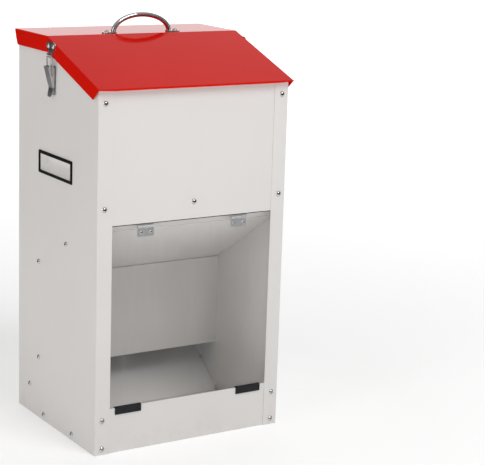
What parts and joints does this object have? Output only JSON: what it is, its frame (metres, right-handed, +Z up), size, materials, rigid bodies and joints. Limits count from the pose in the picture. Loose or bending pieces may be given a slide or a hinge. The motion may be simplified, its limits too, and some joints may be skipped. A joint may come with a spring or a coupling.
{
  "type": "gravity game feeder",
  "caption": "Free-standing sheet-metal gravity feeder with a sloped hinged lid, toggle latches, carrying grips and a low feeding mouth behind a clear swing flap.",
  "frame": {"origin": "middle of the footprint, on the floor the feeder stands on", "axes": "+Z up, -Y out of the feeding mouth, +X to the right seen from the front"},
  "size_m": [0.378, 0.3095, 0.693],
  "materials": {
    "white_powder_coat": "satin white powder coat on sheet steel",
    "red_gloss_paint": "gloss red paint on sheet steel",
    "chrome_bar": "polished chrome plate",
    "bright_steel": "bright nickel plate",
    "latch_steel": "tumbled stainless steel",
    "zinc_steel": "zinc plate",
    "black_plastic": "moulded black plastic",
    "pale_grey_plastic": "moulded pale grey plastic",
    "black_rubber": "extruded black rubber",
    "clear_plastic": "clear polycarbonate sheet"
  },
  "bodies": {
    "body": {"left_side_panel": "white_powder_coat", "right_side_panel": "white_powder_coat", "back_panel": "white_powder_coat", "upper_front_panel": "white_powder_coat", "floor_pan": "white_powder_coat", "hopper_baffle": "white_powder_coat", "throttle_plate": "white_powder_coat", "feed_ramp": "white_powder_coat", "left_grip_pocket": "pale_grey_plastic", "right_grip_pocket": "pale_grey_plastic", "left_grip_trim": "black_plastic", "right_grip_trim": "black_plastic", "left_lip_guard": "black_rubber", "right_lip_guard": "black_rubber", "front_screws": "bright_steel", "front_nuts": "zinc_steel", "back_screws": "bright_steel", "back_nuts": "zinc_steel", "left_side_screws": "bright_steel", "right_side_screws": "bright_steel", "left_side_nuts": "zinc_steel", "right_side_nuts": "zinc_steel", "lid_hinge_body_leaf": "zinc_steel", "lid_hinge_pin": "zinc_steel", "lid_hinge_body_rivets": "zinc_steel", "flap_hinge_fixed_leaves": "zinc_steel", "flap_hinge_pins": "bright_steel", "flap_hinge_rivets": "zinc_steel", "left_latch_base": "latch_steel", "right_latch_base": "latch_steel", "left_latch_base_rivets": "latch_steel", "right_latch_base_rivets": "latch_steel", "left_latch_pin": "latch_steel", "right_latch_pin": "latch_steel"},
    "lid": {"lid_shell": "red_gloss_paint", "lid_handle": "chrome_bar", "handle_screws": "bright_steel", "handle_nuts": "zinc_steel", "lid_hinge_lid_leaf": "zinc_steel", "lid_hinge_lid_rivets": "zinc_steel", "left_latch_keeper": "latch_steel", "right_latch_keeper": "latch_steel", "left_latch_keeper_rivets": "bright_steel", "right_latch_keeper_rivets": "bright_steel"},
    "flap": {"flap_panel": "clear_plastic", "flap_screws": "bright_steel", "flap_nuts": "zinc_steel", "flap_hinge_moving_leaves": "zinc_steel"},
    "left_lever": {"left_latch_lever": "latch_steel"},
    "left_bail": {"left_latch_bail": "latch_steel"},
    "right_lever": {"right_latch_lever": "latch_steel"},
    "right_bail": {"right_latch_bail": "latch_steel"}
  },
  "joints": [
    {"name": "lid_hinge", "type": "hinge", "parent": "body", "child": "lid", "pos_m": [0, 0.149, 0.6552], "axis": [-1, 0, 0], "range_deg": [0, 105]},
    {"name": "flap_swing", "type": "hinge", "parent": "body", "child": "flap", "pos_m": [0, -0.1447, 0.372], "axis": [1, 0, 0], "range_deg": [0, 38]},
    {"name": "left_lever_pivot", "type": "hinge", "parent": "body", "child": "left_lever", "pos_m": [-0.183, 0.012, 0.609], "axis": [0, 1, 0], "range_deg": [0, 120]},
    {"name": "left_bail_pivot", "type": "hinge", "parent": "left_lever", "child": "left_bail", "pos_m": [-0.1806, 0.012, 0.598], "axis": [0, 1, 0], "range_deg": [-138, 0]},
    {"name": "right_lever_pivot", "type": "hinge", "parent": "body", "child": "right_lever", "pos_m": [0.183, 0.012, 0.609], "axis": [0, -1, 0], "range_deg": [0, 120]},
    {"name": "right_bail_pivot", "type": "hinge", "parent": "right_lever", "child": "right_bail", "pos_m": [0.1806, 0.012, 0.598], "axis": [0, -1, 0], "range_deg": [-138, 0]}
  ],
  "couplings": [
    {"joint": "left_bail_pivot", "follows": "left_lever_pivot", "ratio": -1.15},
    {"joint": "right_bail_pivot", "follows": "right_lever_pivot", "ratio": -1.15}
  ]
}
